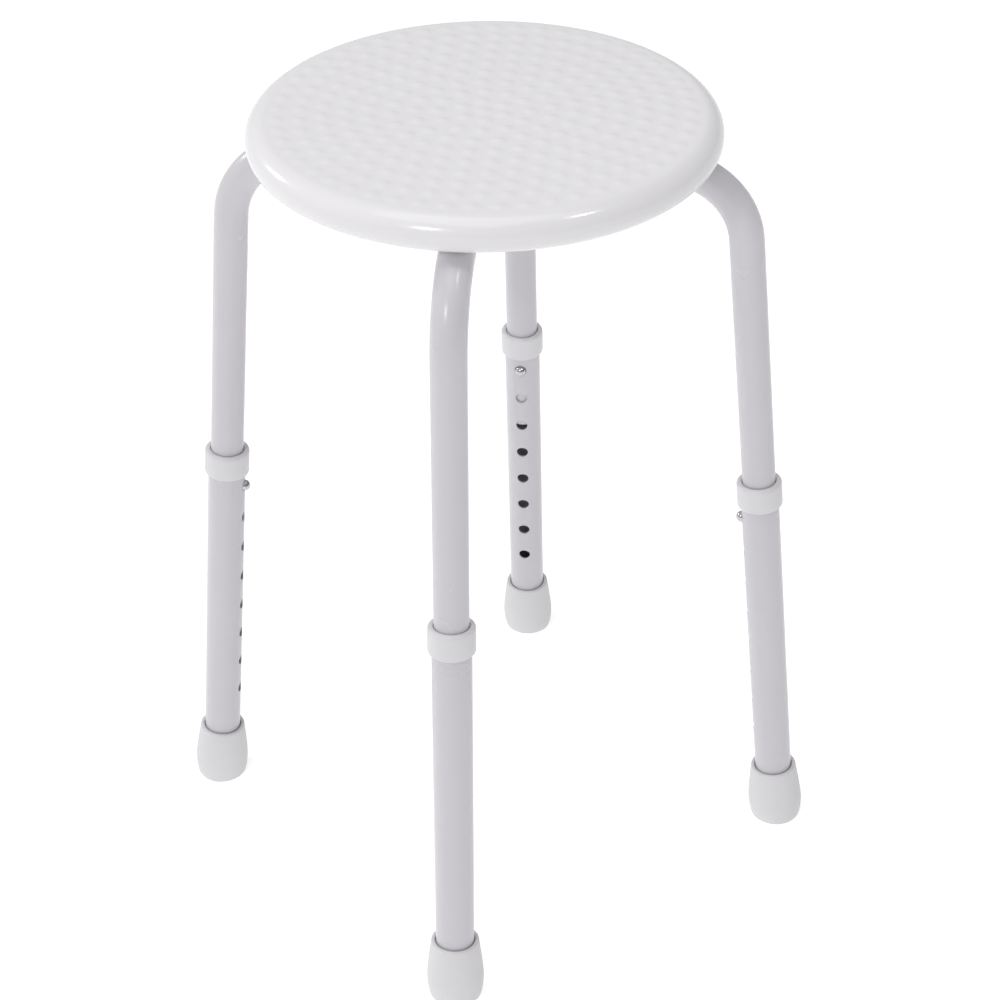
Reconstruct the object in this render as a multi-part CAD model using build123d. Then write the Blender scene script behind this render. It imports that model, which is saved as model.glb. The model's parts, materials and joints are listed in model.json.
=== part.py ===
from build123d import *
from math import cos, floor, radians, sin, sqrt, tan
import os

# A round shower stool on four telescopic legs, in millimetres, +Z up. The origin is on the floor under the
# seat's centre. The legs stand at the front (-Y), right (+X), back (+Y) and left (-X), and are drawn at their
# longest. Every leg piece is drawn once, for the right leg, and turned about Z for the others. A distance
# "along the leg" runs up the leg's axis from the point where that axis meets the floor.

# Overall sizes
SEAT_TOP_HEIGHT = 545.0  # with the legs at their longest
SEAT_DIAMETER = 294.0
LEG_SPLAY = 5.13  # degrees from the vertical
LEG_OUTSET = 12.5  # from the seat's rim out to the corner of a leg's axis and its level run

# Seat: a hollow blow-moulded disc
SEAT_THICKNESS = 23.0
SEAT_WALL = 3.0
SEAT_TOP_ROUND = 12.5
SEAT_BOTTOM_ROUND = 9.5
SEAT_RIM_LEAST_BAND = 1.0  # upright band left between the two rounds
CHANNEL_DEPTH = 2.0
CHANNEL_SIDE_GAP = 0.6
CHANNEL_END_GAP = 1.5
CHANNEL_CORNER_ROUND = 3.0
SCREW_POST_WALL = 5.7  # round a screw's pilot hole
CENTRE_POST_WALL = 8.5  # round the brass insert
VENT_RADIUS = 2.5
VENT_OFFSET = 45.0  # from the stool's axis, along X and along Y

# Tubes
LEG_TUBE_DIAMETER = 25.4
LEG_TUBE_WALL = 1.3
TELESCOPE_GAP = 0.3  # all round, between a leg tube and the frame tube inside it
FRAME_TUBE_WALL = 1.2
BEND_RADIUS = 53.0  # to the tube's centre line
CROSSING_GAP = 0.3
DENT_SIDE_GAP = 0.6
DENT_FLARE = 5.0

# Height adjustment
HOLE_PITCH = 25.4
BUTTON_HOLE_GAP = 0.3  # all round, between a button and its hole
TUBE_PAST_BUTTON = 50.8  # frame tube below the snap button's centre
COLLAR_STOP_GAP = 1.5  # from the collar to the bend, with the leg at its shortest
LOWEST_HOLE_ABOVE_FOOT = 30.0

# Collar
COLLAR_ABOVE_HOLE = 10.5  # from the top hole's centre to the collar's lower edge
COLLAR_HEIGHT = 18.5
COLLAR_WALL = 2.4
COLLAR_LIP = 3.0
COLLAR_ROUND = 1.4
COLLAR_BORE_GAP = 0.3

# Foot and its washer
FOOT_HEIGHT = 43.5
FOOT_BULGE_HEIGHT = 14.5
FOOT_TOP_WALL = 3.2
FOOT_BULGE_WALL = 6.2
FOOT_SOLE_WALL = 2.3
FOOT_LIP_ROUND = 1.2
FOOT_MOUTH_DEPTH = 3.0
FOOT_MOUTH_GAP = 0.5
TREAD_RADII = (5.0, 9.0)
TREAD_WIDTH = 1.5
TREAD_DEPTH = 1.2
LEG_TUBE_BOTTOM = 10.0
FOOT_WASHER_THICKNESS = 1.5
FOOT_WASHER_GAP = 0.7
FOOT_WASHER_HOLE_RADIUS = 4.0

# Snap button and its V spring
BUTTON_DIAMETER = 7.8
BUTTON_PROUD = 3.8  # above the leg tube's surface
BUTTON_FLANGE_WIDTH = 1.0
BUTTON_FLANGE_THICKNESS = 1.0
BUTTON_WALL_GAP = 0.25
RIVET_RADIUS = 1.5
RIVET_LENGTH = 1.0
SPRING_THICKNESS = 0.5
SPRING_WIDTH = 8.0
SPRING_PAD_HALF_LENGTH = 6.5
SPRING_HEIGHT = 38.0
SPRING_BEND_RADIUS = 2.0
SPRING_WALL_GAP = 0.15

# Fasteners under the seat
CENTRE_BOLT_RADIUS = 3.0
CENTRE_BOLT_BITE = 11.0  # thread inside the insert
CENTRE_HEAD_ACROSS_CORNERS = 11.5
CENTRE_HEAD_HEIGHT = 4.0
CENTRE_HOLE_GAP = 0.3
CENTRE_WASHER_RADIUS = 8.0
CENTRE_WASHER_THICKNESS = 1.6
INSERT_WALL = 1.5
INSERT_LENGTH = 12.0
SEAT_SCREW_TO_BEND = 20.0  # along the run, from a screw to the start of the bend
SEAT_SCREW_RADIUS = 2.3
SEAT_SCREW_BITE = 14.0  # thread inside the seat
SEAT_SCREW_POINT = 3.0
SEAT_SCREW_TIP_RADIUS = 0.6
SEAT_SCREW_HEAD_RADIUS = 4.5
SEAT_SCREW_HEAD_HEIGHT = 3.0
SEAT_SCREW_HOLE_GAP = 0.3

LEG_TURNS = {"front": -90, "right": 0, "back": 90, "left": 180}

# Radii and levels that follow from the sizes above
splay = radians(LEG_SPLAY)
seat_radius = SEAT_DIAMETER / 2
leg_tube_radius = LEG_TUBE_DIAMETER / 2
leg_bore_radius = leg_tube_radius - LEG_TUBE_WALL
frame_tube_radius = leg_bore_radius - TELESCOPE_GAP
frame_bore_radius = frame_tube_radius - FRAME_TUBE_WALL
seat_bottom = SEAT_TOP_HEIGHT - SEAT_THICKNESS
channel_top = seat_bottom + CHANNEL_DEPTH
run_height = channel_top - frame_tube_radius
run_bottom = run_height - frame_tube_radius

# The leg's axis, its corner with the level run, and the bend between them
corner_radius = seat_radius + LEG_OUTSET
floor_radius = corner_radius + run_height * tan(splay)
bend_setback = BEND_RADIUS * tan((radians(90) - splay) / 2)
run_half_length = corner_radius - bend_setback
bend_start = run_height / cos(splay) - bend_setback

# The holes: as many as leave the leg its whole travel between the bend and the foot
collar_top_above_hole = COLLAR_ABOVE_HOLE + COLLAR_HEIGHT
hole_span = bend_start - COLLAR_STOP_GAP - collar_top_above_hole - FOOT_HEIGHT - LOWEST_HOLE_ABOVE_FOOT
hole_steps = floor(hole_span / (2 * HOLE_PITCH))
leg_travel = hole_steps * HOLE_PITCH
top_hole = bend_start - COLLAR_STOP_GAP - collar_top_above_hole - leg_travel
collar_bottom = top_hole + COLLAR_ABOVE_HOLE
collar_top = collar_bottom + COLLAR_HEIGHT
leg_tube_top = collar_top - COLLAR_LIP
frame_tube_end = top_hole - TUBE_PAST_BUTTON

# The snap button, measured out from the leg's axis
button_radius = BUTTON_DIAMETER / 2
button_hole_radius = button_radius + BUTTON_HOLE_GAP
button_tip = leg_tube_radius + BUTTON_PROUD
flange_radius = button_radius + BUTTON_FLANGE_WIDTH
flange_outer = sqrt(frame_bore_radius**2 - flange_radius**2) - BUTTON_WALL_GAP
flange_inner = flange_outer - BUTTON_FLANGE_THICKNESS

# The fasteners under the seat, and the posts in the seat that take them
seat_screw_offset = run_half_length - SEAT_SCREW_TO_BEND
centre_head_top = run_bottom - CENTRE_WASHER_THICKNESS
insert_radius = CENTRE_BOLT_RADIUS + INSERT_WALL
centre_post_radius = insert_radius + CENTRE_POST_WALL
screw_post_radius = SEAT_SCREW_RADIUS + SCREW_POST_WALL


def leg_point(distance):
    """Point on the right leg's axis, this far along the leg."""
    return (floor_radius - distance * sin(splay), 0, distance * cos(splay))


def leg_frame(distance):
    """Plane on the right leg's axis: X faces the stool's middle, Z runs up the leg."""
    facing = (-cos(splay), 0, -sin(splay))
    upward = (-sin(splay), 0, cos(splay))
    return Plane(origin=leg_point(distance), x_dir=facing, z_dir=upward)


def upright(radius, bottom, top):
    """Solid cylinder about Z between two levels."""
    return Pos(Z=(bottom + top) / 2) * Cylinder(radius, top - bottom)


def ring(outer, inner, bottom, top):
    """Cylinder about Z with a bore."""
    return upright(outer, bottom, top) - upright(inner, bottom, top)


def around(shape):
    """The shape repeated for the four legs."""
    return [Rot(Z=turn) * shape for turn in LEG_TURNS.values()]


def side_hole(distance):
    """Drill that opens the side of a tube facing the stool's middle."""
    length = 2 * leg_tube_radius
    drill = Pos(X=length / 2) * Rot(Y=90) * Cylinder(button_hole_radius, length)
    return leg_frame(distance) * drill


# Seat


def rounded_disc(radius, bottom, top, bottom_round, top_round):
    """Disc about Z with both rims rounded."""
    disc = upright(radius, bottom, top)
    disc = fillet(disc.edges().group_by(Axis.Z)[-1], top_round)
    return fillet(disc.edges().group_by(Axis.Z)[0], bottom_round)


def channels(margin):
    """The two crossing troughs for the frame's runs, or their walls when a margin is given."""
    outer_bend = BEND_RADIUS + frame_tube_radius
    past_run = sqrt(outer_bend**2 - (outer_bend - CHANNEL_DEPTH) ** 2)
    half_length = run_half_length + past_run + CHANNEL_END_GAP + margin
    half_width = frame_tube_radius + CHANNEL_SIDE_GAP + margin
    outline = RectangleRounded(2 * half_length, 2 * half_width, CHANNEL_CORNER_ROUND + margin)
    trough = extrude(Pos(Z=seat_bottom) * outline, CHANNEL_DEPTH + margin)
    return trough + Rot(Z=90) * trough


def seat_rounds():
    """Rim radii, kept within the seat's thickness."""
    spare = SEAT_THICKNESS - SEAT_RIM_LEAST_BAND
    scale = min(1, spare / (SEAT_TOP_ROUND + SEAT_BOTTOM_ROUND))
    return SEAT_BOTTOM_ROUND * scale, SEAT_TOP_ROUND * scale


def seat_void():
    """Air inside the seat, broken by the channel walls, the screw posts and the centre post."""
    bottom_round, top_round = seat_rounds()
    inner_bottom = seat_bottom + SEAT_WALL
    inner_top = SEAT_TOP_HEIGHT - SEAT_WALL
    inner_rounds = (bottom_round - SEAT_WALL, top_round - SEAT_WALL)
    void = rounded_disc(seat_radius - SEAT_WALL, inner_bottom, inner_top, *inner_rounds)
    post = Pos(X=seat_screw_offset) * upright(screw_post_radius, seat_bottom, SEAT_TOP_HEIGHT)
    centre_post = upright(centre_post_radius, seat_bottom, SEAT_TOP_HEIGHT)
    void = void - channels(SEAT_WALL) - centre_post - around(post)
    vent = Pos(VENT_OFFSET, VENT_OFFSET) * upright(VENT_RADIUS, seat_bottom, inner_top - SEAT_WALL)
    return void + vent


def make_seat():
    bottom_round, top_round = seat_rounds()
    seat = rounded_disc(seat_radius, seat_bottom, SEAT_TOP_HEIGHT, bottom_round, top_round)
    pilot = upright(SEAT_SCREW_RADIUS, seat_bottom, channel_top + SEAT_SCREW_BITE)
    insert_hole = upright(insert_radius, seat_bottom, channel_top + INSERT_LENGTH)
    return seat - seat_void() - channels(0) - insert_hole - around(Pos(X=seat_screw_offset) * pilot)


def make_seat_insert():
    return ring(insert_radius, CENTRE_BOLT_RADIUS, channel_top, channel_top + INSERT_LENGTH)


# Frame


def dent(side, wall):
    """Wedge pressed into a run along X at the crossing: side is 1 from above and -1 from below."""
    inner_level = -side * (CROSSING_GAP / 2 + wall)
    outer_level = side * 2 * frame_tube_radius
    narrow = frame_tube_radius + DENT_SIDE_GAP + wall
    wide = narrow + DENT_FLARE
    corners = ((-narrow, inner_level), (narrow, inner_level), (wide, outer_level), (-wide, outer_level))
    outline = make_face(Polyline(*corners, close=True))
    wedge = extrude(Plane.XZ * outline, 2 * frame_tube_radius, both=True)
    return Pos(Z=run_height) * wedge


def swept_u(radius):
    """Solid rod along the centre line of the inverted U that makes the left and right legs."""
    end_x, _, end_z = leg_point(frame_tube_end)
    corners = ((-corner_radius, 0, run_height), (corner_radius, 0, run_height))
    path = FilletPolyline((-end_x, 0, end_z), *corners, (end_x, 0, end_z), radius=BEND_RADIUS)
    section = Plane(origin=path @ 0, z_dir=path % 0) * Circle(radius)
    return sweep(section, path=path)


def make_frame_tube(side):
    """One inverted U of tube, dented from above or below where it crosses the other."""
    bore = swept_u(frame_bore_radius) - dent(side, FRAME_TUBE_WALL)
    tube = swept_u(frame_tube_radius) - dent(side, 0) - bore
    level = (run_height - 2 * frame_tube_radius, run_height + 2 * frame_tube_radius)
    screw_hole = Pos(X=seat_screw_offset) * upright(SEAT_SCREW_RADIUS + SEAT_SCREW_HOLE_GAP, *level)
    centre_hole = upright(CENTRE_BOLT_RADIUS + CENTRE_HOLE_GAP, *level)
    button_hole = side_hole(top_hole)
    for turn in (0, 180):
        tube -= Rot(Z=turn) * screw_hole
        tube -= Rot(Z=turn) * button_hole
    return tube - centre_hole


# Fasteners under the seat


def make_centre_washer():
    bore = CENTRE_BOLT_RADIUS + CENTRE_HOLE_GAP
    return ring(CENTRE_WASHER_RADIUS, bore, centre_head_top, run_bottom)


def make_centre_bolt():
    hexagon = RegularPolygon(CENTRE_HEAD_ACROSS_CORNERS / 2, 6)
    head = extrude(Pos(Z=centre_head_top - CENTRE_HEAD_HEIGHT) * hexagon, CENTRE_HEAD_HEIGHT)
    return head + upright(CENTRE_BOLT_RADIUS, centre_head_top, channel_top + CENTRE_BOLT_BITE)


def make_seat_screw():
    """Pan-head tapping screw, up through a run and into a post of the seat."""
    tip = channel_top + SEAT_SCREW_BITE
    shoulder = tip - SEAT_SCREW_POINT
    shank = upright(SEAT_SCREW_RADIUS, run_bottom, shoulder)
    point = Pos(Z=(shoulder + tip) / 2) * Cone(SEAT_SCREW_RADIUS, SEAT_SCREW_TIP_RADIUS, SEAT_SCREW_POINT)
    head = upright(SEAT_SCREW_HEAD_RADIUS, run_bottom - SEAT_SCREW_HEAD_HEIGHT, run_bottom)
    head = fillet(head.edges().group_by(Axis.Z)[0], SEAT_SCREW_HEAD_HEIGHT / 2)
    return Pos(X=seat_screw_offset) * (head + shank + point)


# Legs


def make_leg_tube():
    tube = leg_frame(0) * ring(leg_tube_radius, leg_bore_radius, LEG_TUBE_BOTTOM, leg_tube_top)
    for step in range(hole_steps + 1):
        tube -= side_hole(top_hole - step * HOLE_PITCH)
    return tube


def make_collar():
    """Plastic ring pressed on the leg tube's top, with an inward lip that guides the frame tube."""
    body = upright(leg_tube_radius + COLLAR_WALL, collar_bottom, collar_top)
    rims = body.edges().group_by(Axis.Z)
    body = fillet(rims[0] + rims[-1], COLLAR_ROUND)
    body -= upright(leg_tube_radius, collar_bottom, leg_tube_top)
    body -= upright(frame_tube_radius + COLLAR_BORE_GAP, leg_tube_top, collar_top)
    return leg_frame(0) * body


def foot_outline():
    """Half section of the foot's outside, to the right of the leg's axis."""
    sole_radius = leg_tube_radius + FOOT_SOLE_WALL
    sole_level = -sole_radius * tan(splay)
    bulge_radius = leg_tube_radius + FOOT_BULGE_WALL
    top_radius = leg_tube_radius + FOOT_TOP_WALL
    sole = Line((0, sole_level), (sole_radius, sole_level))
    heel = Spline(sole @ 1, (bulge_radius, FOOT_BULGE_HEIGHT), tangents=((1, 0), (0, 1)))
    lean = (top_radius - bulge_radius, FOOT_HEIGHT - FOOT_BULGE_HEIGHT)
    side = Spline(heel @ 1, (top_radius, FOOT_HEIGHT), tangents=((0, 1), lean))
    lid = Polyline(side @ 1, (0, FOOT_HEIGHT), (0, sole_level))
    return make_face(sole + heel + side + lid)


def make_foot():
    """Rubber foot pushed over the leg tube, its sole cut level with the floor."""
    foot = revolve(Plane.XZ * foot_outline(), Axis.Z)
    foot = fillet(foot.edges().group_by(Axis.Z)[-1], FOOT_LIP_ROUND)
    foot -= upright(leg_tube_radius, LEG_TUBE_BOTTOM - FOOT_WASHER_THICKNESS, FOOT_HEIGHT)
    foot -= upright(leg_tube_radius + FOOT_MOUTH_GAP, FOOT_HEIGHT - FOOT_MOUTH_DEPTH, FOOT_HEIGHT)
    foot = leg_frame(0) * foot
    block = 2 * LEG_TUBE_DIAMETER
    foot -= Pos(X=floor_radius, Z=-block / 2) * Box(block, block, block)
    for radius in TREAD_RADII:
        foot -= Pos(X=floor_radius) * ring(radius + TREAD_WIDTH, radius, 0, TREAD_DEPTH)
    return foot


def make_foot_washer():
    washer = ring(
        leg_tube_radius - FOOT_WASHER_GAP,
        FOOT_WASHER_HOLE_RADIUS,
        LEG_TUBE_BOTTOM - FOOT_WASHER_THICKNESS,
        LEG_TUBE_BOTTOM,
    )
    return leg_frame(0) * washer


def make_snap_button():
    """Domed stud with a flange behind it and a rivet tail through the spring."""
    dome_centre = button_tip - button_radius
    stud = upright(button_radius, flange_outer, dome_centre) + Pos(Z=dome_centre) * Sphere(button_radius)
    flange = upright(flange_radius, flange_inner, flange_outer)
    tail = upright(RIVET_RADIUS, flange_inner - RIVET_LENGTH, flange_inner)
    return leg_frame(top_hole) * Rot(Y=90) * (stud + flange + tail)


def make_button_spring():
    """Strip bent to a V in the frame tube: one arm carries the button, the other bears on the far wall."""
    front_x = flange_inner - SPRING_THICKNESS / 2
    back_x = SPRING_THICKNESS / 2 + SPRING_WALL_GAP - sqrt(frame_bore_radius**2 - (SPRING_WIDTH / 2) ** 2)
    points = (
        (front_x, 0, -SPRING_PAD_HALF_LENGTH),
        (front_x, 0, SPRING_PAD_HALF_LENGTH),
        ((front_x + back_x) / 2, 0, SPRING_HEIGHT),
        (back_x, 0, SPRING_PAD_HALF_LENGTH),
        (back_x, 0, -SPRING_PAD_HALF_LENGTH),
    )
    path = FilletPolyline(*points, radius=SPRING_BEND_RADIUS)
    start = Plane(origin=points[0], x_dir=(1, 0, 0), z_dir=(0, 0, 1))
    strip = sweep(start * Rectangle(SPRING_THICKNESS, SPRING_WIDTH), path=path)
    strip -= Rot(Y=90) * upright(RIVET_RADIUS, 0, flange_inner)
    return leg_frame(top_hole) * strip


def export_single_pieces():
    export_step(make_seat(), "parts/seat.step")
    export_step(make_seat_insert(), "parts/seat_insert.step")
    export_step(make_frame_tube(-1), "parts/frame_tube_left_right.step")
    export_step(Rot(Z=90) * make_frame_tube(1), "parts/frame_tube_front_back.step")
    export_step(make_centre_bolt(), "parts/centre_bolt.step")
    export_step(make_centre_washer(), "parts/centre_washer.step")
    export_step(Compound(around(make_seat_screw())), "parts/seat_screws.step")


def export_leg_pieces():
    pieces = {
        "leg_tube": make_leg_tube(),
        "collar": make_collar(),
        "foot": make_foot(),
        "foot_washer": make_foot_washer(),
        "snap_button": make_snap_button(),
        "button_spring": make_button_spring(),
    }
    for place, turn in LEG_TURNS.items():
        for node, shape in pieces.items():
            export_step(Rot(Z=turn) * shape, f"parts/{node}_{place}.step")


os.makedirs("parts", exist_ok=True)
export_single_pieces()
export_leg_pieces()
print(f"{hole_steps + 1} holes, leg travel {leg_travel:.1f}, top hole {top_hole:.2f} up the leg")
print(f"floor radius {floor_radius:.2f}, run at z {run_height:.2f}, screws at {seat_screw_offset:.2f}")
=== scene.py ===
import json
from math import acos, atan2, cos, hypot, pi, radians, sin

import bpy
from mathutils import Matrix, Vector


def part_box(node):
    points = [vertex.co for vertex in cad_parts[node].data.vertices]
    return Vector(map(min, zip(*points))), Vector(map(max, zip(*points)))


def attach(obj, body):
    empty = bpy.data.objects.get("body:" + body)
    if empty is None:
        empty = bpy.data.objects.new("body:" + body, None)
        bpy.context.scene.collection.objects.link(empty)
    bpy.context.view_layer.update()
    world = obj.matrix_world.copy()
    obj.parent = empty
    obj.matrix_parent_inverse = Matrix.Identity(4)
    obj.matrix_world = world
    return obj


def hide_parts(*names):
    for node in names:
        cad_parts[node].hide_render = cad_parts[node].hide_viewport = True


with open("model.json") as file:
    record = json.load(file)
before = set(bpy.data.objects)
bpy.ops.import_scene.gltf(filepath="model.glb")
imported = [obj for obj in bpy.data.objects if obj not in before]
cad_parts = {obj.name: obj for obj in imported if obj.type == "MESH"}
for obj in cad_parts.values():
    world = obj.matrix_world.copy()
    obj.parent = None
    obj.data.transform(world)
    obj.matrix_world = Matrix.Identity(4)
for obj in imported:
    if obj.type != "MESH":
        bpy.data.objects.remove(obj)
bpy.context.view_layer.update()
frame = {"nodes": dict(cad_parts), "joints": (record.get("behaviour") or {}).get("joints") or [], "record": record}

# The stool as a whole
# A round seat on two crossing bent tubes, with four telescopic legs. Each leg's foot point and lean come from
# the record: front on -Y, right on +X, back on +Y and left on -X.

mounts = {mount["name"]: Vector(mount["pos_m"]) for mount in frame["record"]["mounts"]}
joints = {joint["name"]: joint for joint in frame["joints"]}
leg_turns = {"front": -pi / 2, "right": 0.0, "back": pi / 2, "left": pi}
foot_point = mounts["foot_right_sole"]
leg_upward = Vector(joints["leg_right_height"]["axis"])
leg_lean = acos(leg_upward.z)
leg_travel = joints["leg_right_height"]["range_m"][1]


# Seat
# One hollow blow-moulded disc of white polyethylene, with a soft bullnose rim and rings of low dimples.
# Two crossing troughs below sit on the frame's tubes. One bolt and four screws hold it from underneath.


def deselect():
    bpy.ops.object.select_all(action="DESELECT")


def work_on(piece):
    """Makes one piece the only one selected and the active one."""
    deselect()
    piece.select_set(True)
    bpy.context.view_layer.objects.active = piece


def settle():
    """Works the selected piece's place, turn and scale into its mesh."""
    bpy.ops.object.transform_apply(location=True, rotation=True, scale=True)


def clean_faces():
    """In edit mode: joins doubled corners and points every face outward."""
    bpy.ops.mesh.select_all(action="SELECT")
    bpy.ops.mesh.remove_doubles(threshold=1e-6)
    bpy.ops.mesh.normals_make_consistent(inside=False)


def follow_outline(outline):
    """In edit mode: carries the selected circle through each next (radius, height) of an outline."""
    radius, height = outline[0]
    for next_radius, next_height in outline[1:]:
        lift = (0, 0, next_height - height)
        bpy.ops.mesh.extrude_region_move(TRANSFORM_OT_translate={"value": lift})
        grow = next_radius / radius
        bpy.ops.transform.resize(value=(grow, grow, 1), center_override=(0, 0, 0))
        radius, height = next_radius, next_height


def turned_solid(name, outline, segments, fill="NGON"):
    """Solid of revolution about Z: a circle pushed along its outline like clay on a wheel."""
    deselect()
    radius, height = outline[0]
    bpy.ops.mesh.primitive_circle_add(
        vertices=segments, radius=radius, fill_type=fill, location=(0, 0, height)
    )
    piece = bpy.context.object
    piece.name = name
    settle()
    bpy.ops.object.mode_set(mode="EDIT")
    follow_outline(outline)
    clean_faces()
    bpy.ops.object.mode_set(mode="OBJECT")
    return piece


def arc(centre_radius, centre_height, size, start, end, steps):
    """Points of a quarter-round or part of one, in (radius, height), from one angle in degrees to another."""
    angles = [radians(start + (end - start) * step / steps) for step in range(steps + 1)]
    return [(centre_radius + size * cos(angle), centre_height + size * sin(angle)) for angle in angles]


def use_modifier(piece, kind, **settings):
    """Adds one modifier with these settings and applies it."""
    work_on(piece)
    bpy.ops.object.modifier_add(type=kind)
    modifier = piece.modifiers[-1]
    for setting, value in settings.items():
        setattr(modifier, setting, value)
    bpy.ops.object.modifier_apply(modifier=modifier.name)


def cut_with(piece, cutter):
    """Takes the cutter's shape out of a piece, and throws the cutter away."""
    use_modifier(piece, "BOOLEAN", operation="DIFFERENCE", object=cutter, solver="EXACT")
    bpy.data.objects.remove(cutter)


def smooth(piece, angle=30):
    work_on(piece)
    bpy.ops.object.shade_smooth_by_angle(angle=radians(angle))


def finish_group():
    """Shader group for moulded, coated and rubber surfaces: drift of tone, uneven gloss, fine grain."""
    group = bpy.data.node_groups.new("moulded_and_coated", "ShaderNodeTree")
    made = group.interface.new_socket
    made("Place", in_out="INPUT", socket_type="NodeSocketVector")
    made("Colour", in_out="INPUT", socket_type="NodeSocketColor")
    made("Soiled", in_out="INPUT", socket_type="NodeSocketColor")
    for name in ("Drift Scale", "Drift", "Roughness", "Gloss Drift", "Grain Scale", "Grain Height"):
        made(name, in_out="INPUT", socket_type="NodeSocketFloat")
    made("Mask", in_out="INPUT", socket_type="NodeSocketFloat")
    made("Colour", in_out="OUTPUT", socket_type="NodeSocketColor")
    made("Roughness", in_out="OUTPUT", socket_type="NodeSocketFloat")
    made("Normal", in_out="OUTPUT", socket_type="NodeSocketVector")
    nodes, link = group.nodes, group.links.new
    given = nodes.new("NodeGroupInput")
    result = nodes.new("NodeGroupOutput")

    drift = nodes.new("ShaderNodeTexNoise")
    drift.inputs["Detail"].default_value = 4
    drift.inputs["Roughness"].default_value = 0.6
    link(given.outputs["Place"], drift.inputs["Vector"])
    link(given.outputs["Drift Scale"], drift.inputs["Scale"])

    share = nodes.new("ShaderNodeMath")
    share.operation = "MULTIPLY_ADD"
    link(drift.outputs["Fac"], share.inputs[0])
    link(given.outputs["Drift"], share.inputs[1])
    link(given.outputs["Mask"], share.inputs[2])
    share.use_clamp = True
    tone = nodes.new("ShaderNodeMix")
    tone.data_type = "RGBA"
    link(share.outputs[0], tone.inputs["Factor"])
    link(given.outputs["Colour"], tone.inputs["A"])
    link(given.outputs["Soiled"], tone.inputs["B"])
    link(tone.outputs["Result"], result.inputs["Colour"])

    smear = nodes.new("ShaderNodeTexNoise")
    smear.inputs["Detail"].default_value = 3
    smear.inputs["Distortion"].default_value = 0.6
    faster = nodes.new("ShaderNodeMath")
    faster.operation = "MULTIPLY"
    faster.inputs[1].default_value = 3.7
    link(given.outputs["Drift Scale"], faster.inputs[0])
    link(faster.outputs[0], smear.inputs["Scale"])
    link(given.outputs["Place"], smear.inputs["Vector"])
    gloss = nodes.new("ShaderNodeMath")
    gloss.operation = "MULTIPLY_ADD"
    link(smear.outputs["Fac"], gloss.inputs[0])
    link(given.outputs["Gloss Drift"], gloss.inputs[1])
    link(given.outputs["Roughness"], gloss.inputs[2])
    link(gloss.outputs[0], result.inputs["Roughness"])

    grain = nodes.new("ShaderNodeTexNoise")
    grain.inputs["Detail"].default_value = 2
    link(given.outputs["Place"], grain.inputs["Vector"])
    link(given.outputs["Grain Scale"], grain.inputs["Scale"])
    relief = nodes.new("ShaderNodeBump")
    relief.inputs["Strength"].default_value = 1.0
    link(grain.outputs["Fac"], relief.inputs["Height"])
    link(given.outputs["Grain Height"], relief.inputs["Distance"])
    link(relief.outputs["Normal"], result.inputs["Normal"])
    return group


moulded_and_coated = finish_group()


def new_material(name):
    """Empty node material: its nodes, its links and its shader."""
    material = bpy.data.materials.new(name)
    material.use_nodes = True
    nodes = material.node_tree.nodes
    return material, nodes, material.node_tree.links.new, nodes["Principled BSDF"]


def place_from(nodes, attribute=None):
    """Where a pattern is read from: object coordinates, or a point's place before its leg leant."""
    if attribute is None:
        return nodes.new("ShaderNodeTexCoord").outputs["Object"]
    stored = nodes.new("ShaderNodeAttribute")
    stored.attribute_name = attribute
    return stored.outputs["Vector"]


def finished_surface(name, colour, soiled, attribute=None, **values):
    """Material from the moulded and coated group, with its own colours and values."""
    material, nodes, link, shader = new_material(name)
    finish = nodes.new("ShaderNodeGroup")
    finish.node_tree = moulded_and_coated
    finish.inputs["Colour"].default_value = (*colour, 1)
    finish.inputs["Soiled"].default_value = (*soiled, 1)
    for socket, value in values.items():
        finish.inputs[socket.replace("_", " ").title()].default_value = value
    link(place_from(nodes, attribute), finish.inputs["Place"])
    link(finish.outputs["Colour"], shader.inputs["Base Color"])
    link(finish.outputs["Roughness"], shader.inputs["Roughness"])
    link(finish.outputs["Normal"], shader.inputs["Normal"])
    return material


def dress(piece, material):
    piece.data.materials.clear()
    piece.data.materials.append(material)


seat_low, seat_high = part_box("seat")
seat_radius = seat_high.x
seat_bottom, seat_top = seat_low.z, seat_high.z
seat_segments = 480
rim_top_round = 0.0125
rim_bottom_round = 0.0095
field_radius = seat_radius - rim_top_round
field_steps = 104
dimple_height = 0.0006
dimple_radius = 0.006
dimple_pitch = 0.0152
ring_pitch = 0.0141
ring_count = 9
ring_turn = 0.18
field_top = seat_top - dimple_height
centre_flat_radius = 0.0008
underside_middle_radius = 0.04
trough_reach = 0.1285
trough_side_gap = 0.0006
trough_corner_round = 0.003
trough_edge_round = 0.0007
vent_place = (0.045, 0.045, 0)
vent_radius = 0.0025
vent_depth = 0.004


def seat_outline():
    """Half section of the seat from the middle of its underside, round the rim, to the middle of its top."""
    under = [(underside_middle_radius, seat_bottom)]
    low_centre = (seat_radius - rim_bottom_round, seat_bottom + rim_bottom_round)
    low = arc(*low_centre, rim_bottom_round, -90, 0, 8)
    high = arc(field_radius, field_top - rim_top_round, rim_top_round, 0, 90, 12)
    return under + low + high + [(centre_flat_radius, field_top)]


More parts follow.
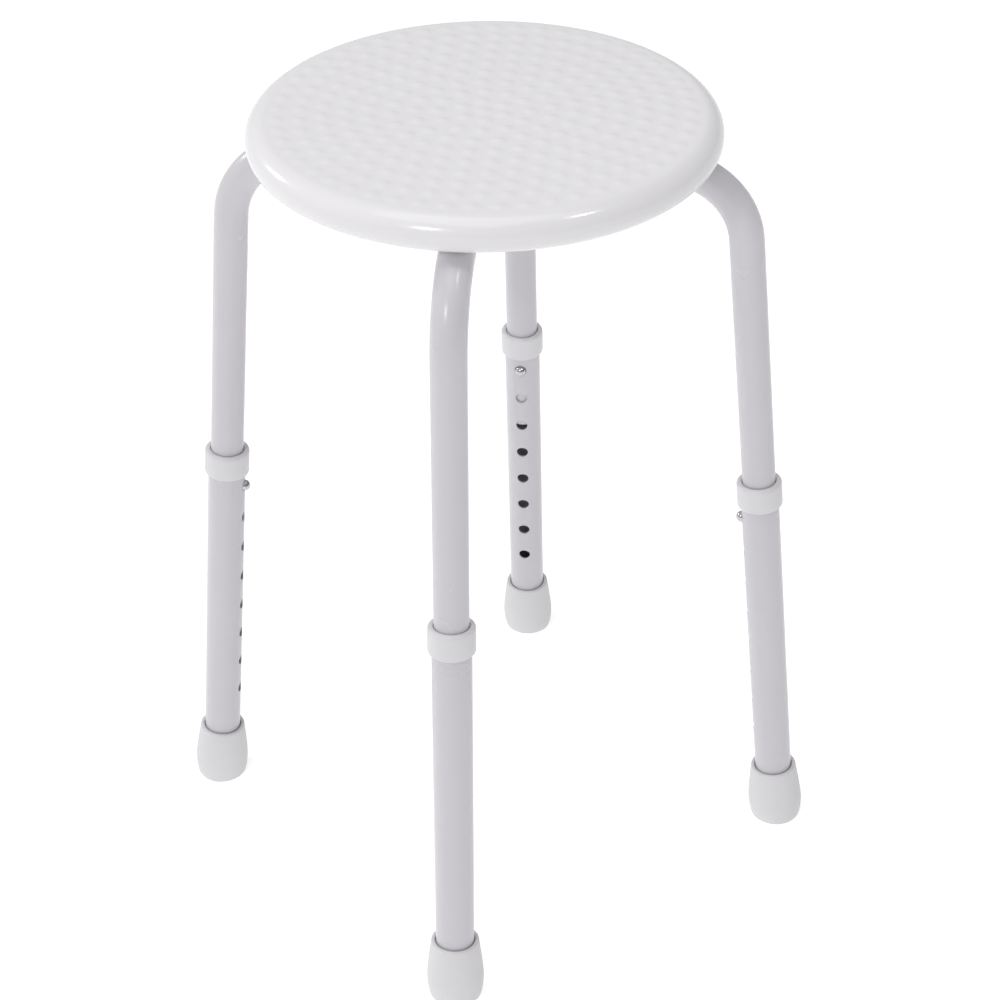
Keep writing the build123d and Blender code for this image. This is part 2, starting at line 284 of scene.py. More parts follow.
def rounded_bar(name, length, width, low, high, corner):
    """Cutter with rounded upright edges, lying along X."""
    deselect()
    bpy.ops.mesh.primitive_cube_add(size=1, location=(0, 0, (low + high) / 2))
    bar = bpy.context.object
    bar.name = name
    bar.scale = (length, width, high - low)
    settle()
    bpy.ops.object.mode_set(mode="EDIT")
    bpy.ops.mesh.select_all(action="DESELECT")
    bpy.ops.object.mode_set(mode="OBJECT")
    for edge in bar.data.edges:
        ends = [bar.data.vertices[index].co for index in edge.vertices]
        edge.select = abs(ends[0].z - ends[1].z) > corner
    bpy.ops.object.mode_set(mode="EDIT")
    bpy.ops.mesh.bevel(offset=corner, segments=6, affect="EDGES")
    bpy.ops.object.mode_set(mode="OBJECT")
    return bar


def drill(name, radius, low, high, place=Matrix.Identity(4), sides=32):
    """Round cutter about Z between two heights, then moved to its place."""
    deselect()
    bpy.ops.mesh.primitive_cylinder_add(
        vertices=sides, radius=radius, depth=high - low, location=(0, 0, (low + high) / 2)
    )
    bit = bpy.context.object
    bit.name = name
    settle()
    bit.matrix_world = place
    settle()
    return bit


def raise_dimples(seat):
    """Lifts the field into soft round dimples, in rings that are set half a dimple round from each other."""
    for vertex in seat.data.vertices:
        radius = hypot(vertex.co.x, vertex.co.y)
        if vertex.co.z < field_top - 1e-6 or radius > field_radius + 1e-6:
            continue
        angle = atan2(vertex.co.y, vertex.co.x)
        lift = dimple_profile(radius)
        for ring in range(1, ring_count + 1):
            offset = radius - ring * ring_pitch
            if abs(offset) >= dimple_radius:
                continue
            count = round(2 * pi * ring * ring_pitch / dimple_pitch)
            turned = angle / (2 * pi) * count - ring_turn - ring / 2
            across = (turned - round(turned)) / count * 2 * pi * radius
            lift = max(lift, dimple_profile(hypot(offset, across)))
        vertex.co.z += lift * dimple_height


def dimple_profile(distance):
    """Height of a dimple, from 1 at its crown to 0 at its edge."""
    if distance >= dimple_radius:
        return 0.0
    return (0.5 + 0.5 * cos(pi * distance / dimple_radius)) ** 0.8


def make_seat():
    seat = turned_solid("seat_shell", seat_outline(), seat_segments)
    tube_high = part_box("frame_tube_left_right")[1]
    trough_width = 2 * (tube_high.y + trough_side_gap)
    low, high = seat_bottom - 0.01, tube_high.z
    for turn in (0, pi / 2):
        bar = rounded_bar("trough", 2 * trough_reach, trough_width, low, high, trough_corner_round)
        bar.matrix_world = Matrix.Rotation(turn, 4, "Z")
        cut_with(seat, bar)
    vent_top = seat_bottom + vent_depth
    place = Matrix.Translation(vent_place)
    cut_with(seat, drill("vent", vent_radius, seat_bottom - 0.002, vent_top, place))
    bevel = {"segments": 3, "limit_method": "ANGLE", "angle_limit": radians(50)}
    use_modifier(seat, "BEVEL", width=trough_edge_round, **bevel)
    split_field(seat)
    raise_dimples(seat)
    smooth(seat, 35)
    return seat


def split_field(seat):
    """Cuts the flat field into close rings, by cutting every spoke that crosses it."""
    work_on(seat)
    bpy.ops.object.mode_set(mode="EDIT")
    bpy.ops.mesh.select_mode(type="EDGE")
    bpy.ops.mesh.select_all(action="DESELECT")
    bpy.ops.object.mode_set(mode="OBJECT")
    for edge in seat.data.edges:
        ends = [seat.data.vertices[index].co for index in edge.vertices]
        level = all(abs(end.z - field_top) < 1e-6 for end in ends)
        radii = sorted(hypot(end.x, end.y) for end in ends)
        edge.select = level and radii[1] - radii[0] > field_radius / 2
    bpy.ops.object.mode_set(mode="EDIT")
    bpy.ops.mesh.subdivide(number_cuts=field_steps)
    bpy.ops.mesh.select_mode(type="VERT")
    bpy.ops.object.mode_set(mode="OBJECT")


seat_white = finished_surface(
    "glossy_white_polyethylene",
    colour=(0.78, 0.766, 0.784),
    soiled=(0.735, 0.721, 0.739),
    drift_scale=14,
    drift=0.5,
    roughness=0.13,
    gloss_drift=0.10,
    grain_scale=900,
    grain_height=0.00002,
)
seat = make_seat()
dress(seat, seat_white)
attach(seat, "frame")
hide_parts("seat")


# Bolt, washer, insert and screws under the seat
# A zinc-plated hexagon bolt passes up through both tubes into a brass insert moulded in the seat. Four
# pan-head tapping screws with cross recesses go up through the tubes' level runs into posts in the seat.


def plated_group():
    """Shader group for bare and plated metal: turning or drawing lines, smudges and small dull spots."""
    group = bpy.data.node_groups.new("bare_and_plated", "ShaderNodeTree")
    made = group.interface.new_socket
    made("Place", in_out="INPUT", socket_type="NodeSocketVector")
    made("Bright", in_out="INPUT", socket_type="NodeSocketColor")
    made("Dull", in_out="INPUT", socket_type="NodeSocketColor")
    for name in ("Line Scale", "Line Depth", "Roughness", "Smudge"):
        made(name, in_out="INPUT", socket_type="NodeSocketFloat")
    made("Colour", in_out="OUTPUT", socket_type="NodeSocketColor")
    made("Roughness", in_out="OUTPUT", socket_type="NodeSocketFloat")
    made("Normal", in_out="OUTPUT", socket_type="NodeSocketVector")
    nodes, link = group.nodes, group.links.new
    given = nodes.new("NodeGroupInput")
    result = nodes.new("NodeGroupOutput")

    cloud = nodes.new("ShaderNodeTexNoise")
    cloud.inputs["Scale"].default_value = 160
    cloud.inputs["Detail"].default_value = 5
    link(given.outputs["Place"], cloud.inputs["Vector"])
    tone = nodes.new("ShaderNodeMix")
    tone.data_type = "RGBA"
    link(cloud.outputs["Fac"], tone.inputs["Factor"])
    link(given.outputs["Bright"], tone.inputs["A"])
    link(given.outputs["Dull"], tone.inputs["B"])
    link(tone.outputs["Result"], result.inputs["Colour"])

    smudge = nodes.new("ShaderNodeMath")
    smudge.operation = "MULTIPLY_ADD"
    link(cloud.outputs["Fac"], smudge.inputs[0])
    link(given.outputs["Smudge"], smudge.inputs[1])
    link(given.outputs["Roughness"], smudge.inputs[2])
    link(smudge.outputs[0], result.inputs["Roughness"])

    drawn = nodes.new("ShaderNodeMapping")
    drawn.inputs["Scale"].default_value = (1, 1, 0.05)
    link(given.outputs["Place"], drawn.inputs["Vector"])
    lines = nodes.new("ShaderNodeTexNoise")
    lines.inputs["Detail"].default_value = 2
    link(drawn.outputs["Vector"], lines.inputs["Vector"])
    link(given.outputs["Line Scale"], lines.inputs["Scale"])
    relief = nodes.new("ShaderNodeBump")
    link(lines.outputs["Fac"], relief.inputs["Height"])
    link(given.outputs["Line Depth"], relief.inputs["Distance"])
    link(relief.outputs["Normal"], result.inputs["Normal"])
    return group


bare_and_plated = plated_group()


def metal_surface(name, bright, dull, **values):
    """Metal from the bare and plated group, with its own colours and values."""
    material, nodes, link, shader = new_material(name)
    finish = nodes.new("ShaderNodeGroup")
    finish.node_tree = bare_and_plated
    finish.inputs["Bright"].default_value = (*bright, 1)
    finish.inputs["Dull"].default_value = (*dull, 1)
    for socket, value in values.items():
        finish.inputs[socket.replace("_", " ").title()].default_value = value
    link(place_from(nodes), finish.inputs["Place"])
    link(finish.outputs["Colour"], shader.inputs["Base Color"])
    link(finish.outputs["Roughness"], shader.inputs["Roughness"])
    link(finish.outputs["Normal"], shader.inputs["Normal"])
    shader.inputs["Metallic"].default_value = 1.0
    return material


zinc_plate = metal_surface(
    "zinc_plated_steel",
    bright=(0.66, 0.67, 0.69),
    dull=(0.48, 0.49, 0.50),
    line_scale=1800,
    line_depth=0.00001,
    roughness=0.22,
    smudge=0.22,
)
turned_brass = metal_surface(
    "turned_brass",
    bright=(0.72, 0.55, 0.26),
    dull=(0.50, 0.36, 0.17),
    line_scale=1500,
    line_depth=0.00001,
    roughness=0.24,
    smudge=0.2,
)
dress(frame["nodes"]["seat_insert"], turned_brass)

bolt_low, bolt_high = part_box("centre_bolt")
washer_low, washer_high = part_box("centre_washer")
bolt_across = bolt_high.x - bolt_low.x
bolt_shank = 0.003
thread_pitch = 0.001
thread_depth = 0.0003
washer_hole = 0.0033


def make_bolt():
    """Hexagon head with its corners taken off, and a threaded shank up into the insert."""
    deselect()
    head_middle = (bolt_low.z + washer_low.z) / 2
    head_height = washer_low.z - bolt_low.z
    bpy.ops.mesh.primitive_cylinder_add(
        vertices=6,
        radius=bolt_across / 2,
        depth=head_height,
        location=(0, 0, head_middle),
        rotation=(0, 0, pi / 2),
    )
    bolt = bpy.context.object
    bolt.name = "hexagon_bolt"
    settle()
    chamfer = turned_solid("chamfer", hexagon_chamfer(head_height), 48)
    use_modifier(bolt, "BOOLEAN", operation="INTERSECT", object=chamfer, solver="EXACT")
    bpy.data.objects.remove(chamfer)
    use_modifier(bolt, "BEVEL", width=0.00015, segments=2, limit_method="ANGLE", angle_limit=radians(20))
    shank = turned_solid("shank", shank_outline(), 40)
    work_on(shank)
    bolt.select_set(True)
    bpy.context.view_layer.objects.active = bolt
    bpy.ops.object.join()
    smooth(bolt)
    return bolt


def hexagon_chamfer(head_height):
    """Blunt cone that takes the six corners off a hexagon head's outer end."""
    reach = bolt_across / 2
    return [(reach * 0.8, bolt_low.z), (reach, bolt_low.z + head_height * 0.3), (reach, washer_low.z)]


def shank_outline():
    """Threaded shank: a row of shallow ridges up to its chamfered end."""
    outline = [(bolt_shank, washer_low.z)]
    height = washer_high.z
    while height < bolt_high.z - 2 * thread_pitch:
        outline += [(bolt_shank, height), (bolt_shank - thread_depth, height + thread_pitch / 2)]
        height += thread_pitch
    return outline + [(bolt_shank, height), (bolt_shank - 2 * thread_depth, bolt_high.z)]


def make_washer():
    round_edge = 0.0003
    reach = (washer_high.x - washer_low.x) / 2
    low, high = washer_low.z, washer_high.z
    outline = [(washer_hole, low), (reach - round_edge, low), (reach, low + round_edge)]
    outline += [(reach, high - round_edge), (reach - round_edge, high)]
    outline += [(washer_hole, high), (washer_hole, low)]
    washer = turned_ring("flat_washer", outline, 64)
    smooth(washer)
    return washer


def turned_ring(name, outline, segments):
    """Ring of revolution about Z: an open circle pushed along a closed outline until it meets itself."""
    return turned_solid(name, outline, segments, fill="NOTHING")


screw_low, screw_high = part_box("seat_screws")
screw_head_radius = 0.0045
screw_head_height = 0.003
screw_radius = 0.0023
screw_face_radius = 0.0012
screw_dome_round = 0.0015
screw_head_edge = 0.0002
screw_thread_pitch = 0.0018
screw_thread_depth = 0.0006
screw_taper_length = 0.004
screw_tip_radius = 0.0003
recess_length = 0.0046
recess_width = 0.0009
recess_depth = 0.0016
screw_offset = screw_high.x - screw_head_radius


def screw_outline():
    """Domed pan head, then a coarse tapping thread that ends in a point."""
    seat_side = screw_low.z + screw_head_height
    dome_centre = (screw_head_radius - screw_dome_round, screw_low.z + screw_dome_round)
    dome = arc(*dome_centre, screw_dome_round, -90, 0, 6)
    outline = [(screw_face_radius, screw_low.z)] + dome
    outline += [(screw_head_radius, seat_side - screw_head_edge)]
    outline += [(screw_head_radius - screw_head_edge, seat_side), (screw_radius, seat_side)]
    root = screw_radius - screw_thread_depth
    height = seat_side + screw_thread_pitch
    while height < screw_high.z - screw_taper_length:
        outline += [(screw_radius, height), (root, height + screw_thread_pitch / 2)]
        height += screw_thread_pitch
    return outline + [(screw_radius - screw_thread_depth / 2, height), (screw_tip_radius, screw_high.z)]


def make_screws():
    first = turned_solid("pan_head_screw", screw_outline(), 32)
    for turn in (0, pi / 2):
        low, high = screw_low.z - 0.001, screw_low.z + recess_depth
        slot_bar = rounded_bar("cross_recess", recess_length, recess_width, low, high, 0.0002)
        slot_bar.matrix_world = Matrix.Rotation(turn, 4, "Z")
        cut_with(first, slot_bar)
    smooth(first)
    screws = []
    for turn in leg_turns.values():
        place = Matrix.Rotation(turn, 4, "Z") @ Matrix.Translation((screw_offset, 0, 0))
        screws.append(placed_copy(first, "pan_head_screw", place))
    bpy.data.objects.remove(first)
    return screws


def placed_copy(piece, name, place):
    """Copy with its own mesh, moved by a matrix that is then worked into the mesh."""
    work_on(piece)
    bpy.ops.object.duplicate(linked=False)
    copy = bpy.context.object
    copy.name = name
    copy.matrix_world = place
    settle()
    return copy


bolt = make_bolt()
washer = make_washer()
for piece, node in ((bolt, "centre_bolt"), (washer, "centre_washer")):
    dress(piece, zinc_plate)
    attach(piece, "frame")
    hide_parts(node)
for place, screw in zip(leg_turns, make_screws()):
    screw.name = f"pan_head_screw_{place}"
    dress(screw, zinc_plate)
    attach(screw, "frame")
    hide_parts("seat_screws")


# Frame tubes
# Two inverted Us of drawn aluminium tube, bent on a mandrel and powder coated. Each is pressed to half its
# height at the crossing, one from above and one from below, so that both lie level under the seat.


def coated_material(name, attribute=None):
    """Satin white powder coat, with the fine unevenness of a baked coat."""
    return finished_surface(
        name,
        colour=(0.605, 0.586, 0.624),
        soiled=(0.55, 0.534, 0.568),
        attribute=attribute,
        drift_scale=9,
        drift=0.5,
        roughness=0.19,
        gloss_drift=0.12,
        grain_scale=650,
        grain_height=0.000035,
    )


powder_coat = coated_material("white_powder_coat")
tube_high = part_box("frame_tube_left_right")[1]
tube_radius = tube_high.y
tube_wall = 0.0012
tube_sides = 72
bend_radius = 0.053
bend_steps = 24
run_height = tube_high.z - tube_radius
crossing_gap = 0.0003
dent_side_gap = 0.0006
dent_flare = 0.005
dent_edge_round = 0.0012
button_hole_radius = 0.0042
screw_hole_radius = 0.0026
hole_below_tube_top = 0.026
tube_past_button = 0.0508
leg_tube_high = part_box("leg_tube_right")[1]
leg_tube_radius = leg_tube_high.y
leg_tube_top = (leg_tube_high.z - leg_tube_radius * sin(leg_lean)) / cos(leg_lean)
top_hole = leg_tube_top - hole_below_tube_top
corner_x = foot_point.x - run_height * sin(leg_lean) / cos(leg_lean)
bend_setback = bend_radius * sin((pi / 2 - leg_lean) / 2) / cos((pi / 2 - leg_lean) / 2)
run_half = corner_x - bend_setback
bend_start = run_height / cos(leg_lean) - bend_setback
tube_end = top_hole - tube_past_button


def leg_point(distance, side=1):
    """Point on the right leg's axis, or on the left's for side -1, this far up the leg from the floor."""
    return Vector((side * (foot_point.x - distance * sin(leg_lean)), 0, distance * cos(leg_lean)))


def extrude_by(offset, cuts):
    """In edit mode: pushes the selected loop along in equal steps."""
    for _ in range(cuts):
        bpy.ops.mesh.extrude_region_move(TRANSFORM_OT_translate={"value": offset / cuts})


def open_u(name):
    """Tube surface along the whole U, from the left leg's lower end, over the seat's run, to the right's."""
    deselect()
    start = leg_point(tube_end, -1)
    bpy.ops.mesh.primitive_circle_add(
        vertices=tube_sides,
        radius=tube_radius,
        fill_type="NOTHING",
        location=start,
        rotation=(0, leg_lean, 0),
    )
    tube = bpy.context.object
    tube.name = name
    settle()
    bpy.ops.object.mode_set(mode="EDIT")
    turn = pi / 2 - leg_lean
    extrude_by(leg_point(bend_start, -1) - start, 12)
    bend_centre = Vector((run_half, 0, run_height - bend_radius))
    left_centre = Vector((-bend_centre.x, 0, bend_centre.z))
    bpy.ops.mesh.spin(steps=bend_steps, angle=turn, center=left_centre, axis=(0, -1, 0))
    extrude_by(Vector((2 * run_half, 0, 0)), 16)
    bpy.ops.mesh.spin(steps=bend_steps, angle=turn, center=bend_centre, axis=(0, -1, 0))
    extrude_by(leg_point(tube_end) - leg_point(bend_start), 12)
    bpy.ops.mesh.select_all(action="SELECT")
    bpy.ops.mesh.remove_doubles(threshold=1e-6)
    bpy.ops.mesh.fill_holes(sides=0)
    bpy.ops.mesh.normals_make_consistent(inside=False)
    bpy.ops.object.mode_set(mode="OBJECT")
    return tube


def dent_wedge(side):
    """Cutter for the pressed middle of a run: side is 1 from above and -1 from below."""
    deselect()
    bpy.ops.mesh.primitive_cube_add(size=1)
    wedge = bpy.context.object
    wedge.name = "dent"
    narrow = tube_radius + dent_side_gap
    for vertex in wedge.data.vertices:
        outer = vertex.co.z > 0
        reach = narrow + dent_flare if outer else narrow
        level = 2 * tube_radius if outer else -crossing_gap / 2
        vertex.co = (reach if vertex.co.x > 0 else -reach, 4 * tube_radius * vertex.co.y, level)
    if side < 0:
        wedge.rotation_euler = (pi, 0, 0)
    wedge.location = (0, 0, run_height)
    settle()
    return wedge


def open_ends(tube):
    """Takes off the two end caps that closed the tube for the dent's cut."""
    work_on(tube)
    bpy.ops.object.mode_set(mode="EDIT")
    bpy.ops.mesh.select_mode(type="FACE")
    bpy.ops.object.mode_set(mode="OBJECT")
    for face in tube.data.polygons:
        face.select = len(face.vertices) == tube_sides and face.center.z < leg_point(bend_start).z
    bpy.ops.object.mode_set(mode="EDIT")
    bpy.ops.mesh.delete(type="ONLY_FACE")
    bpy.ops.mesh.select_mode(type="VERT")
    bpy.ops.object.mode_set(mode="OBJECT")


def leg_matrix(turn):
    """Carries a piece built upright over the origin on to a leg, leant and turned."""
    place = Matrix.Rotation(turn, 4, "Z") @ Matrix.Translation(foot_point)
    return place @ Matrix.Rotation(-leg_lean, 4, "Y")


def inward_drill(name, distance, turn):
    """Cutter for a hole in the side of a leg that faces the stool's middle."""
    sideways = Matrix.Translation((0, 0, distance)) @ Matrix.Rotation(-pi / 2, 4, "Y")
    return drill(name, button_hole_radius, 0.003, 0.02, leg_matrix(turn) @ sideways, 40)


def make_frame_tube(name, side):
    tube = open_u(name)
    cut_with(tube, dent_wedge(side))
    open_ends(tube)
    bevel = {"segments": 3, "limit_method": "ANGLE", "angle_limit": radians(28)}
    use_modifier(tube, "BEVEL", width=dent_edge_round, **bevel)
    use_modifier(tube, "SOLIDIFY", thickness=tube_wall, offset=-1, use_even_offset=False)
    for turn in (0, pi):
        cut_with(tube, inward_drill("button_hole", top_hole, turn))
        sideways = Matrix.Rotation(turn, 4, "Z") @ Matrix.Translation((screw_offset, 0, 0))
        low, high = run_height - 0.03, run_height + 0.03
        cut_with(tube, drill("screw_hole", screw_hole_radius, low, high, sideways))
    smooth(tube)
    return tube


frame_tubes = {"left_right": (-1, 0.0), "front_back": (1, pi / 2)}
for name, (side, turn) in frame_tubes.items():
    drawn = make_frame_tube("u_tube", side)
    tube = placed_copy(drawn, f"u_tube_{name}", Matrix.Rotation(turn, 4, "Z"))
    bpy.data.objects.remove(drawn)
    dress(tube, powder_coat)
    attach(tube, "frame")
    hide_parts(f"frame_tube_{name}")


# Button springs
# Strips of blued spring steel bent to a V and pushed up inside the frame tubes. One arm carries the button
# and the other bears on the far wall. They are hidden, so the solids stay and only take their finish.

spring_blue = metal_surface(
    "blued_spring_steel",
    bright=(0.34, 0.36, 0.40),
    dull=(0.20, 0.21, 0.25),
    line_scale=1600,
    line_depth=0.00001,
    roughness=0.28,
    smudge=0.2,
)
for place in leg_turns:
    dress(frame["nodes"][f"button_spring_{place}"], spring_blue)


# Snap buttons
# Turned steel studs with a domed, chromed head, riveted to their springs. At rest a button stands out
# through the frame tube and the leg tube's top hole, and locks the leg.

chrome = metal_surface(
    "polished_chrome",
    bright=(0.60, 0.60, 0.61),
    dull=(0.46, 0.46, 0.48),
    line_scale=1200,
    line_depth=0.000004,
    roughness=0.08,
    smudge=0.08,
)
button_radius = 0.0039
button_tip = leg_tube_radius + 0.0038
rivet_radius = 0.0015
rivet_length = 0.001
flange_inner, flange_outer = 0.00735, 0.00835
flange_radius = 0.0049


def button_outline():
    """Half section from the rivet tail, past the flange, to the crown of the dome."""
    edge = 0.0001
    tail_end = flange_inner - rivet_length
    tail = [(rivet_radius - edge, tail_end), (rivet_radius, tail_end + edge), (rivet_radius, flange_inner)]
    flange = [(flange_radius - edge, flange_inner), (flange_radius, flange_inner + edge)]
    flange += [(flange_radius, flange_outer - edge), (flange_radius - edge, flange_outer)]
    flange += [(button_radius, flange_outer)]
    dome = arc(0, button_tip - button_radius, button_radius, 0, 88, 14)
    return tail + flange + dome


def make_button():
    button = turned_solid("snap_button", button_outline(), 64)
    work_on(button)
    button.matrix_world = Matrix.Translation((0, 0, top_hole)) @ Matrix.Rotation(-pi / 2, 4, "Y")
    settle()
    smooth(button)
    return button


upright_button = make_button()
for place, turn in leg_turns.items():
    button = placed_copy(upright_button, f"domed_button_{place}", leg_matrix(turn))
    dress(button, chrome)
    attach(button, f"button_{place}")
    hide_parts(f"snap_button_{place}")
bpy.data.objects.remove(upright_button)


# Leg tubes
# Straight aluminium tubes, coated like the frame, that slide over its ends. Each has a row of holes one inch
# apart, punched in the side that faces the stool's middle, and the button stands in the top one.

leg_wall = 0.0013
leg_sides = 96
leg_rings = 60
leg_tube_bottom = 0.01
hole_pitch = 0.0254
hole_edge_round = 0.00022
hole_count = round(leg_travel / hole_pitch) + 1


def keep_made_place(piece):
    """Stores where each point was before its leg leant, for patterns that run along the leg."""
    made = piece.data.attributes.new("as_made", "FLOAT_VECTOR", "POINT")
    for vertex, value in zip(piece.data.vertices, made.data):
        value.vector = vertex.co


def make_leg_tube():
    deselect()
    bpy.ops.mesh.primitive_circle_add(
        vertices=leg_sides, radius=leg_tube_radius, fill_type="NOTHING", location=(0, 0, leg_tube_bottom)
    )
    tube = bpy.context.object
    tube.name = "leg_tube"
    settle()
    bpy.ops.object.mode_set(mode="EDIT")
    extrude_by(Vector((0, 0, leg_tube_top - leg_tube_bottom)), leg_rings)
    clean_faces()
    bpy.ops.object.mode_set(mode="OBJECT")
    use_modifier(tube, "SOLIDIFY", thickness=leg_wall, offset=-1)
    sideways = Matrix.Rotation(-pi / 2, 4, "Y")
    for step in range(hole_count):
        height = Matrix.Translation((0, 0, top_hole - step * hole_pitch))
        cut_with(tube, drill("leg_hole", button_hole_radius, 0.003, 0.02, height @ sideways, 40))
    bevel = {"segments": 2, "limit_method": "ANGLE", "angle_limit": radians(45)}
    use_modifier(tube, "BEVEL", width=hole_edge_round, **bevel)
    smooth(tube)
    keep_made_place(tube)
    return tube


leg_coat = coated_material("white_powder_coat_on_legs", "as_made")
upright_tube = make_leg_tube()
for place, turn in leg_turns.items():
    tube = placed_copy(upright_tube, f"outer_leg_{place}", leg_matrix(turn))
    dress(tube, leg_coat)
    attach(tube, f"leg_{place}")
    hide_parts(f"leg_tube_{place}")
bpy.data.objects.remove(upright_tube)


# Collars
# White moulded rings pressed over the top of each leg tube. An inward lip covers the tube's edge and
# guides the frame tube, so the legs slide without rattling.

collar_plastic = finished_surface(
    "white_collar_plastic",
    colour=(0.69, 0.68, 0.70),
    soiled=(0.645, 0.636, 0.655),
    attribute="as_made",
    drift_scale=30,
    drift=0.5,
    roughness=0.33,
    gloss_drift=0.12,
    grain_scale=1100,
    grain_height=0.00002,
)
collar_bottom = leg_tube_top - 0.0155
collar_top = leg_tube_top + 0.003
collar_radius = leg_tube_radius + 0.0024
collar_bore = tube_radius + 0.0003
collar_top_round = 0.0021
collar_bottom_round = 0.0014
collar_lip_round = 0.0006
collar_inner_edge = 0.0003
press_fit_gap = 0.00002


def collar_outline():
    """Closed section of the ring, from its lower inside edge round the outside and back down the bores."""
    inside = leg_tube_radius + press_fit_gap
    bottom_centre = (collar_radius - collar_bottom_round, collar_bottom + collar_bottom_round)
    bottom = arc(*bottom_centre, collar_bottom_round, -90, 0, 6)
    top_centre = (collar_radius - collar_top_round, collar_top - collar_top_round)
    top = arc(*top_centre, collar_top_round, 0, 90, 8)
    lip = arc(collar_bore + collar_lip_round, collar_top - collar_lip_round, collar_lip_round, 90, 180, 4)
    bore = [(collar_bore, leg_tube_top), (inside, leg_tube_top)]
    bore += [(inside, collar_bottom + collar_inner_edge)]
    start = [(inside + collar_inner_edge, collar_bottom)]
    return start + bottom + top + lip + bore + start


def make_collar():
    collar = turned_ring("collar", collar_outline(), 96)
    smooth(collar, 40)
    keep_made_place(collar)
    return collar


upright_collar = make_collar()
for place, turn in leg_turns.items():
    collar = placed_copy(upright_collar, f"guide_collar_{place}", leg_matrix(turn))
    dress(collar, collar_plastic)
    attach(collar, f"leg_{place}")
    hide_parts(f"collar_{place}")
bpy.data.objects.remove(upright_collar)


# Feet
# White rubber feet moulded in one piece, stretched over the leg tubes, with a steel washer inside that the
# tube stands on. The sole is level with the floor and has two tread rings.

foot_rubber = finished_surface(
    "satin_white_rubber",
    colour=(0.70, 0.69, 0.705),
    soiled=(0.63, 0.62, 0.635),
    attribute="as_made",
    drift_scale=26,
    drift=0.55,
    roughness=0.44,
    gloss_drift=0.16,
    grain_scale=800,
    grain_height=0.00004,
)
foot_height = 0.0435
foot_bulge_height = 0.0145
foot_bulge_radius = leg_tube_radius + 0.0062
foot_top_radius = leg_tube_radius + 0.0032
sole_radius = leg_tube_radius + 0.0023
washer_seat = 0.0085
mouth_gap = 0.0005
mouth_depth = 0.003
foot_lip = 0.0012
tread_radii = (0.005, 0.009)
tread_width = 0.0015
tread_depth = 0.0012
heel_below_floor = 0.0006
mouth_edge = 0.0004
sole_curve = 0.85
taper_curve = 1.35
sole_steps = 12
taper_steps = 14


def foot_outline():
    """Half section from the sole, out round the bulge, up to the lip and down into the socket."""
    sole_level = -sole_radius * sin(leg_lean) / cos(leg_lean) - heel_below_floor
    outline = [(sole_radius, sole_level)]
    for step in range(1, sole_steps + 1):
        angle = pi / 2 * step / sole_steps
        reach = sole_radius + (foot_bulge_radius - sole_radius) * sin(angle) ** sole_curve
        outline.append((reach, sole_level + (foot_bulge_height - sole_level) * (1 - cos(angle))))
    for step in range(1, taper_steps + 1):
        share = step / taper_steps
        height = foot_bulge_height + (foot_height - foot_lip - foot_bulge_height) * share
        reach = foot_bulge_radius - (foot_bulge_radius - foot_top_radius) * share**taper_curve
        outline.append((reach, height))
    outline += arc(foot_top_radius - foot_lip, foot_height - foot_lip, foot_lip, 20, 90, 6)
    mouth = leg_tube_radius + mouth_gap
    socket = leg_tube_radius + press_fit_gap
    outline += [(mouth + mouth_edge, foot_height), (mouth, foot_height - mouth_edge)]
    outline += [(mouth, foot_height - mouth_depth), (socket, foot_height - mouth_depth)]
    return outline + [(socket, washer_seat)]


def cut_level(foot, foot_place):
    """Cuts a leant foot level with the floor and sinks two tread rings into the new sole."""
    work_on(foot)
    bpy.ops.object.mode_set(mode="EDIT")
    bpy.ops.mesh.select_mode(type="VERT")
    bpy.ops.mesh.select_all(action="SELECT")
    bpy.ops.mesh.bisect(
        plane_co=(0, 0, 0), plane_no=(0, 0, 1), use_fill=True, clear_inner=True, threshold=1e-6
    )
    bpy.ops.object.mode_set(mode="OBJECT")
    for radius in tread_radii:
        outline = [(radius, -0.001), (radius + tread_width, -0.001), (radius + tread_width, tread_depth)]
        groove = turned_ring("tread_groove", outline + [(radius, tread_depth), (radius, -0.001)], 64)
        groove.matrix_world = Matrix.Translation(foot_place)
        cut_with(foot, groove)
    smooth(foot, 40)


def make_foot():
    foot = turned_solid("rubber_foot", foot_outline(), 96)
    keep_made_place(foot)
    return foot


upright_foot = make_foot()
for place, turn in leg_turns.items():
    foot = placed_copy(upright_foot, f"rubber_foot_{place}", leg_matrix(turn))
    cut_level(foot, Matrix.Rotation(turn, 4, "Z") @ foot_point)
    dress(foot, foot_rubber)
    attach(foot, f"leg_{place}")
    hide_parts(f"foot_{place}")
    dress(frame["nodes"][f"foot_washer_{place}"], zinc_plate)
bpy.data.objects.remove(upright_foot)


# Studio
# A plain white floor, pale surroundings that are dimmer on the right, and one large soft box overhead.
# Small lamps on the left, at the front and on the right put short highlights on the rim and the bends.

floor_white = bpy.data.materials.new("white_floor")
floor_white.use_nodes = True
floor_shader = floor_white.node_tree.nodes["Principled BSDF"]
floor_shader.inputs["Base Color"].default_value = (0.95, 0.95, 0.95, 1)
floor_shader.inputs["Roughness"].default_value = 0.9
floor_shader.inputs["Specular IOR Level"].default_value = 0.1
floor_shader.inputs["Emission Color"].default_value = (1, 1, 1, 1)
floor_shader.inputs["Emission Strength"].default_value = 0.40
deselect()
bpy.ops.mesh.primitive_plane_add(size=40, location=(0, 0, 0))
floor_plane = bpy.context.object
floor_plane.name = "floor"
dress(floor_plane, floor_white)

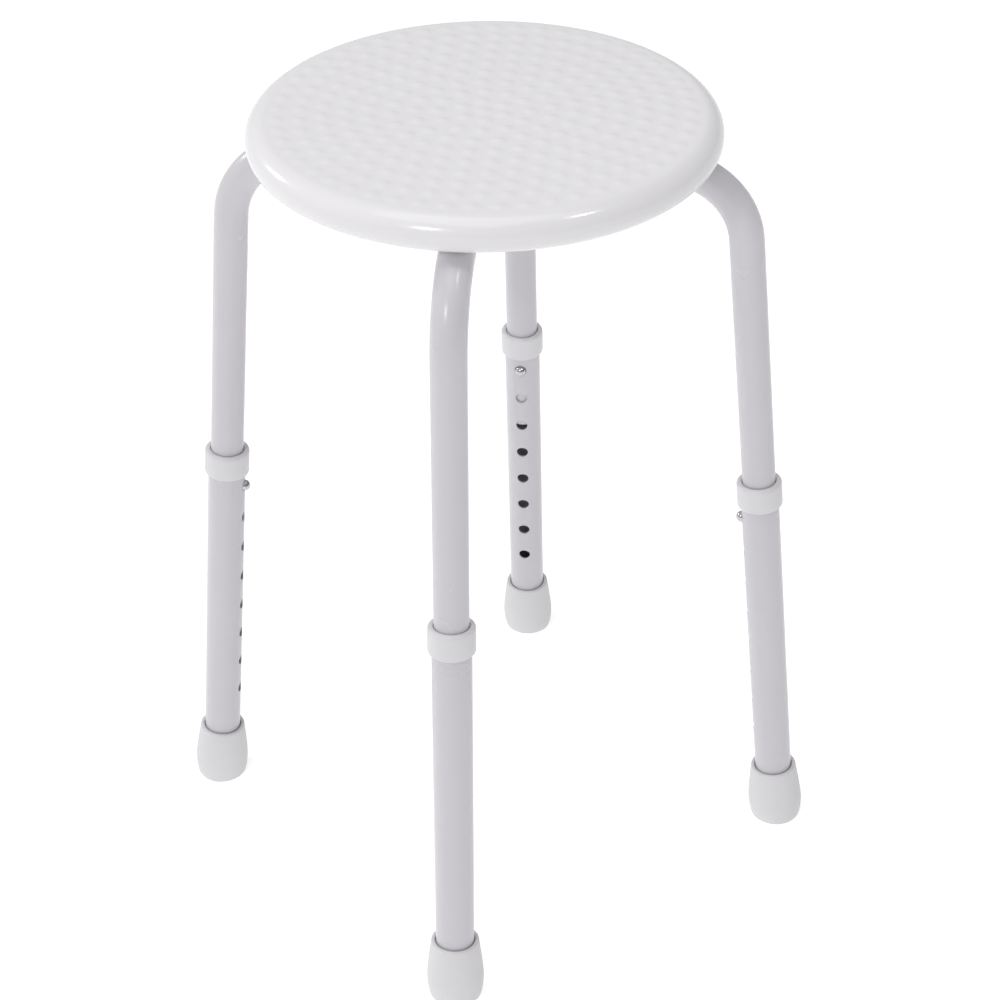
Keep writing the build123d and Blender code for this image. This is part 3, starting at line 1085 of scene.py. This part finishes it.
surroundings_left = 0.75
surroundings_right = 0.25
world = bpy.data.worlds.new("studio")
bpy.context.scene.world = world
world.use_nodes = True
sky_nodes, sky_link = world.node_tree.nodes, world.node_tree.links.new
heading = sky_nodes.new("ShaderNodeTexCoord")
across = sky_nodes.new("ShaderNodeSeparateXYZ")
level = sky_nodes.new("ShaderNodeMapRange")
level.inputs["From Min"].default_value = -1
level.inputs["From Max"].default_value = 1
level.inputs["To Min"].default_value = surroundings_left
level.inputs["To Max"].default_value = surroundings_right
sky_link(heading.outputs["Generated"], across.inputs[0])
sky_link(across.outputs["X"], level.inputs["Value"])
sky_link(level.outputs["Result"], sky_nodes["Background"].inputs["Strength"])
sky_nodes["Background"].inputs["Color"].default_value = (1, 1, 1, 1)
bpy.context.scene.view_settings.view_transform = "Standard"


def soft_box(name, place, size, power):
    """Square area light aimed at the stool."""
    deselect()
    bpy.ops.object.light_add(type="AREA", location=place)
    light = bpy.context.object
    light.name = name
    light.data.size = size
    light.data.energy = power
    light.rotation_euler = (Vector((0, 0, 0.35)) - Vector(place)).to_track_quat("-Z", "Y").to_euler()


soft_box("overhead", (-0.1, -0.2, 2.3), 1.6, 11.5)
soft_box("lamp_left", (-1.78, 0.56, 1.25), 0.22, 5)
soft_box("lamp_front", (-0.58, -1.55, 1.65), 0.2, 6)
soft_box("lamp_right", (1.07, -0.39, 2.15), 0.2, 4.5)

camera_distance = 1.3659
camera_height = 1.1875
camera_azimuth = 8.0
camera_yaw = 0.27
camera_pitch = 34.285
camera_roll = -0.788
camera_lens = 87.8
deselect()
bpy.ops.object.camera_add()
camera = bpy.context.object
bearing = radians(camera_azimuth)
camera.data.lens = camera_lens
camera.data.sensor_width = 36
camera.matrix_world = (
    Matrix.Translation((camera_distance * sin(bearing), -camera_distance * cos(bearing), camera_height))
    @ Matrix.Rotation(bearing - radians(camera_yaw), 4, "Z")
    @ Matrix.Rotation(pi / 2 - radians(camera_pitch), 4, "X")
    @ Matrix.Rotation(radians(camera_roll), 4, "Z")
)
bpy.context.scene.camera = camera
